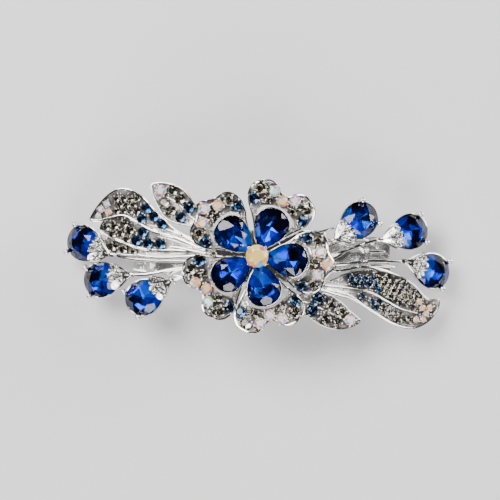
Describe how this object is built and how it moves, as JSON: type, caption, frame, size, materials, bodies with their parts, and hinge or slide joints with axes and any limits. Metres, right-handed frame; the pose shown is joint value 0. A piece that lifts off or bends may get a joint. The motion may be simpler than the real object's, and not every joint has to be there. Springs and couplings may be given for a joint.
{
  "type": "rhinestone hair clip",
  "caption": "Arched barrette hair clip with a twisted-wire clasp arm and squeeze catch, carrying a jewelled flower with petals, leaves and budded stems.",
  "frame": {"origin": "centre of the clip's bounding box, on the plane that its hinge ears and catch foot rest on", "axes": "+X along the clip from the hinge end to the catch end, +Y across it towards the larger upper petals, +Z out of the face of the ornament"},
  "size_m": [0.0988, 0.0386, 0.0252],
  "materials": {
    "silver_plate": "bright rhodium-look plating on cast metal",
    "spring_steel": "nickel-plated spring steel",
    "blue_crystal": "cut sapphire-blue crystal with a foiled back",
    "aurora_crystal": "cut clear crystal with an iridescent coating",
    "smoke_crystal": "cut smoke-grey crystal with a foiled back",
    "navy_crystal": "cut navy crystal with a foiled back",
    "clear_crystal": "cut clear crystal"
  },
  "bodies": {
    "clip": {"base_plate": "spring_steel", "hinge_pin": "spring_steel", "catch_frame": "spring_steel", "catch_rivets": "spring_steel", "mounting_plate": "silver_plate", "mounting_rivets": "silver_plate", "flower_post": "silver_plate", "flower_disc": "silver_plate", "solder_posts": "silver_plate", "outer_petal_1": "silver_plate", "outer_petal_2": "silver_plate", "outer_petal_3": "silver_plate", "outer_petal_4": "silver_plate", "outer_petal_5": "silver_plate", "crystal_cup_1": "silver_plate", "crystal_cup_2": "silver_plate", "crystal_cup_3": "silver_plate", "crystal_cup_4": "silver_plate", "crystal_cup_5": "silver_plate", "flower_crystal_1": "blue_crystal", "flower_crystal_2": "blue_crystal", "flower_crystal_3": "blue_crystal", "flower_crystal_4": "blue_crystal", "flower_crystal_5": "blue_crystal", "centre_cup": "silver_plate", "centre_stone": "aurora_crystal", "petal_aurora_stones": "aurora_crystal", "petal_smoke_stones": "smoke_crystal", "petal_navy_stones": "navy_crystal", "leaf_left_upper": "silver_plate", "leaf_left_lower": "silver_plate", "leaf_left_under": "silver_plate", "leaf_left_small": "silver_plate", "leaf_right_large": "silver_plate", "leaf_right_small": "silver_plate", "leaf_aurora_stones": "aurora_crystal", "leaf_smoke_stones": "smoke_crystal", "leaf_navy_stones": "navy_crystal", "bud_setting_1": "silver_plate", "bud_setting_2": "silver_plate", "bud_setting_3": "silver_plate", "bud_setting_4": "silver_plate", "bud_setting_5": "silver_plate", "bud_setting_6": "silver_plate", "bud_crystal_1": "blue_crystal", "bud_crystal_2": "blue_crystal", "bud_crystal_3": "blue_crystal", "bud_crystal_4": "blue_crystal", "bud_crystal_5": "blue_crystal", "bud_crystal_6": "blue_crystal", "bud_stems_left": "silver_plate", "bud_stems_right": "silver_plate", "wire_spray_left": "silver_plate", "wire_spray_right": "silver_plate", "bud_clear_stones": "clear_crystal"},
    "arm": {"clasp_arm": "spring_steel"},
    "front_tab": {"pinch_tab_front": "spring_steel"},
    "rear_tab": {"pinch_tab_rear": "spring_steel"}
  },
  "joints": [
    {"name": "clasp_hinge", "type": "hinge", "parent": "clip", "child": "arm", "pos_m": [-0.0296, 0, 0.0032], "axis": [0, 1, 0], "range_deg": [0, 90]},
    {"name": "rear_tab_squeeze", "type": "hinge", "parent": "clip", "child": "rear_tab", "pos_m": [0.0293, 0.00135, 0.0047], "axis": [1, 0, 0], "range_deg": [-14, 0], "stiffness_Nm_per_rad": 0.03},
    {"name": "front_tab_squeeze", "type": "hinge", "parent": "clip", "child": "front_tab", "pos_m": [0.0293, -0.00135, 0.0047], "axis": [1, 0, 0], "range_deg": [0, 14], "stiffness_Nm_per_rad": 0.03}
  ]
}
